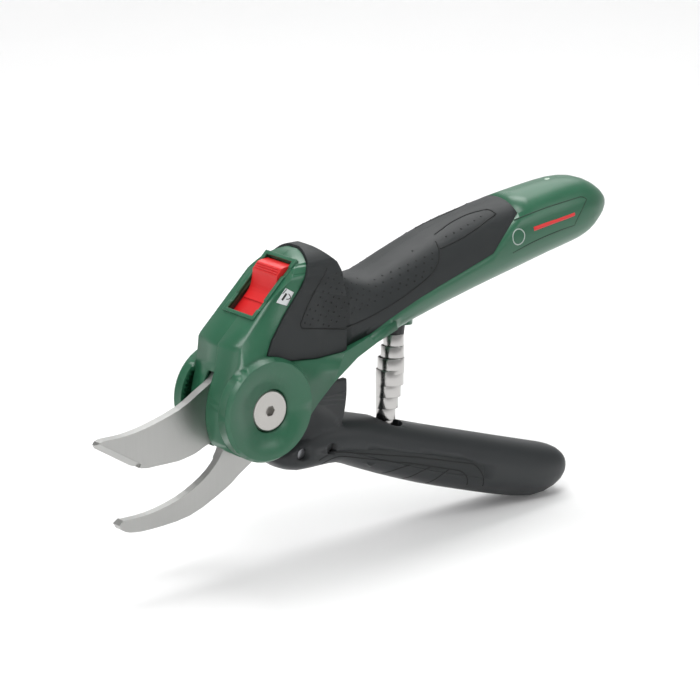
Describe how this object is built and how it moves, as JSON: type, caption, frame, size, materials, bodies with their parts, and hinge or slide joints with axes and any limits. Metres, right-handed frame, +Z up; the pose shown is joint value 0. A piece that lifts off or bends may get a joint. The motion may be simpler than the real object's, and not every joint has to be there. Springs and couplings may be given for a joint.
{
  "type": "battery electric pruner",
  "caption": "Handheld cordless bypass pruner: curved blade over a hooked jaw, thick upper grip with motor and cell, sprung lower lever, lock slider.",
  "frame": {"origin": "on the pivot axis, in the shear plane between blade and hook", "axes": "+X from the jaws to the tail, +Y towards the pivot nut, +Z up from the lower lever to the upper handle"},
  "size_m": [0.2599, 0.039, 0.1395],
  "materials": {
    "casing": "satin green glass-filled nylon",
    "soft": "black soft overmould",
    "steel": "ground steel",
    "bright": "bright plated steel",
    "red": "red plastic",
    "label": "printed silver foil",
    "black": "black plastic",
    "bronze": "sintered bronze",
    "dark": "dark sintered steel",
    "zinc": "zinc plated steel",
    "magnet": "bonded ferrite",
    "copper": "laminations and copper winding",
    "cell": "shrink sleeve on a steel can",
    "board": "glass-fibre board",
    "light": "clear light pipe",
    "gear": "acetal",
    "lever": "black glass-filled nylon"
  },
  "bodies": {
    "housing": {"housing_left": "casing", "housing_right": "casing", "soft_grip_left": "soft", "soft_grip_right": "soft", "housing_screws": "zinc", "hook_jaw": "steel", "hook_dowels": "zinc", "pivot_bolt": "bright", "pivot_nut": "zinc", "pivot_bush": "bronze", "thrust_washer": "zinc", "lock_label": "label", "detent_spring": "bright", "power_switch": "black", "switch_leads": "black", "screw_bearing": "bronze", "ring_gear": "dark", "motor_can": "bright", "motor_magnets": "magnet", "motor_end_cap": "black", "motor_leads": "red", "battery_cell": "cell", "battery_tabs": "bright", "battery_leads": "red", "cell_pads": "black", "circuit_board": "board", "board_parts": "black", "usb_socket": "bright", "charge_light": "light", "spring_seat_upper": "black", "volute_spring": "bright"},
    "lever": {"cutting_blade": "steel", "crank_pin": "zinc", "lever_left": "lever", "lever_right": "lever", "lever_pad_left": "soft", "lever_pad_right": "soft", "lever_screws": "zinc", "tang_rivets": "zinc", "spring_seat_lower": "black"},
    "lock": {"lock_slider": "red", "lock_bar": "zinc", "switch_knob": "black"},
    "nut": {"screw_nut": "gear"},
    "screw": {"drive_screw": "zinc", "planet_carrier": "bright"},
    "planet_1": {"planet_gear_1": "gear"},
    "planet_2": {"planet_gear_2": "gear"},
    "planet_3": {"planet_gear_3": "gear"},
    "rotor": {"sun_gear": "bronze", "motor_rotor": "copper"},
    "cover": {"port_cover": "soft"}
  },
  "joints": [
    {"name": "jaw_pivot", "type": "hinge", "parent": "housing", "child": "lever", "pos_m": [0, 0, 0], "axis": [0, -1, 0], "range_deg": [0, 27], "stiffness_Nm_per_rad": 2.1, "springref_deg": -13.75, "deforming": ["volute_spring"]},
    {"name": "lock_slide", "type": "slide", "parent": "housing", "child": "lock", "axis": [-0.7206, 0, -0.6934], "range_m": [0, 0.006]},
    {"name": "nut_slide", "type": "slide", "parent": "housing", "child": "nut", "axis": [-0.9681, 0, -0.2504], "range_m": [0, 0.00747]},
    {"name": "screw_spin", "type": "hinge", "parent": "housing", "child": "screw", "pos_m": [0.05414, 0, 0.0303], "axis": [0.9681, 0, 0.2504], "range_deg": [0, 1793.36]},
    {"name": "planet_spin_1", "type": "hinge", "parent": "screw", "child": "planet_1", "pos_m": [0.06808, 0, 0.02833], "axis": [0.9681, 0, 0.2504], "range_deg": [-5020.51, 0]},
    {"name": "planet_spin_2", "type": "hinge", "parent": "screw", "child": "planet_2", "pos_m": [0.06605, 0.00468, 0.03617], "axis": [0.9681, 0, 0.2504], "range_deg": [-5020.51, 0]},
    {"name": "planet_spin_3", "type": "hinge", "parent": "screw", "child": "planet_3", "pos_m": [0.06605, -0.00468, 0.03617], "axis": [0.9681, 0, 0.2504], "range_deg": [-5020.51, 0]},
    {"name": "rotor_spin", "type": "hinge", "parent": "housing", "child": "rotor", "pos_m": [0.08318, 0, 0.03781], "axis": [0.9681, 0, 0.2504], "range_deg": [0, 8068.37]},
    {"name": "cover_hinge", "type": "hinge", "parent": "housing", "child": "cover", "pos_m": [0.17496, 0, 0.04353], "axis": [0, 1, 0], "range_deg": [0, 100]}
  ],
  "couplings": [
    {"joint": "nut_slide", "follows": "jaw_pivot", "m_per_rad": 0.015852},
    {"joint": "screw_spin", "follows": "jaw_pivot", "ratio": 66.402},
    {"joint": "planet_spin_1", "follows": "jaw_pivot", "ratio": -185.93},
    {"joint": "planet_spin_2", "follows": "jaw_pivot", "ratio": -185.93},
    {"joint": "planet_spin_3", "follows": "jaw_pivot", "ratio": -185.93},
    {"joint": "rotor_spin", "follows": "jaw_pivot", "ratio": 298.81}
  ]
}
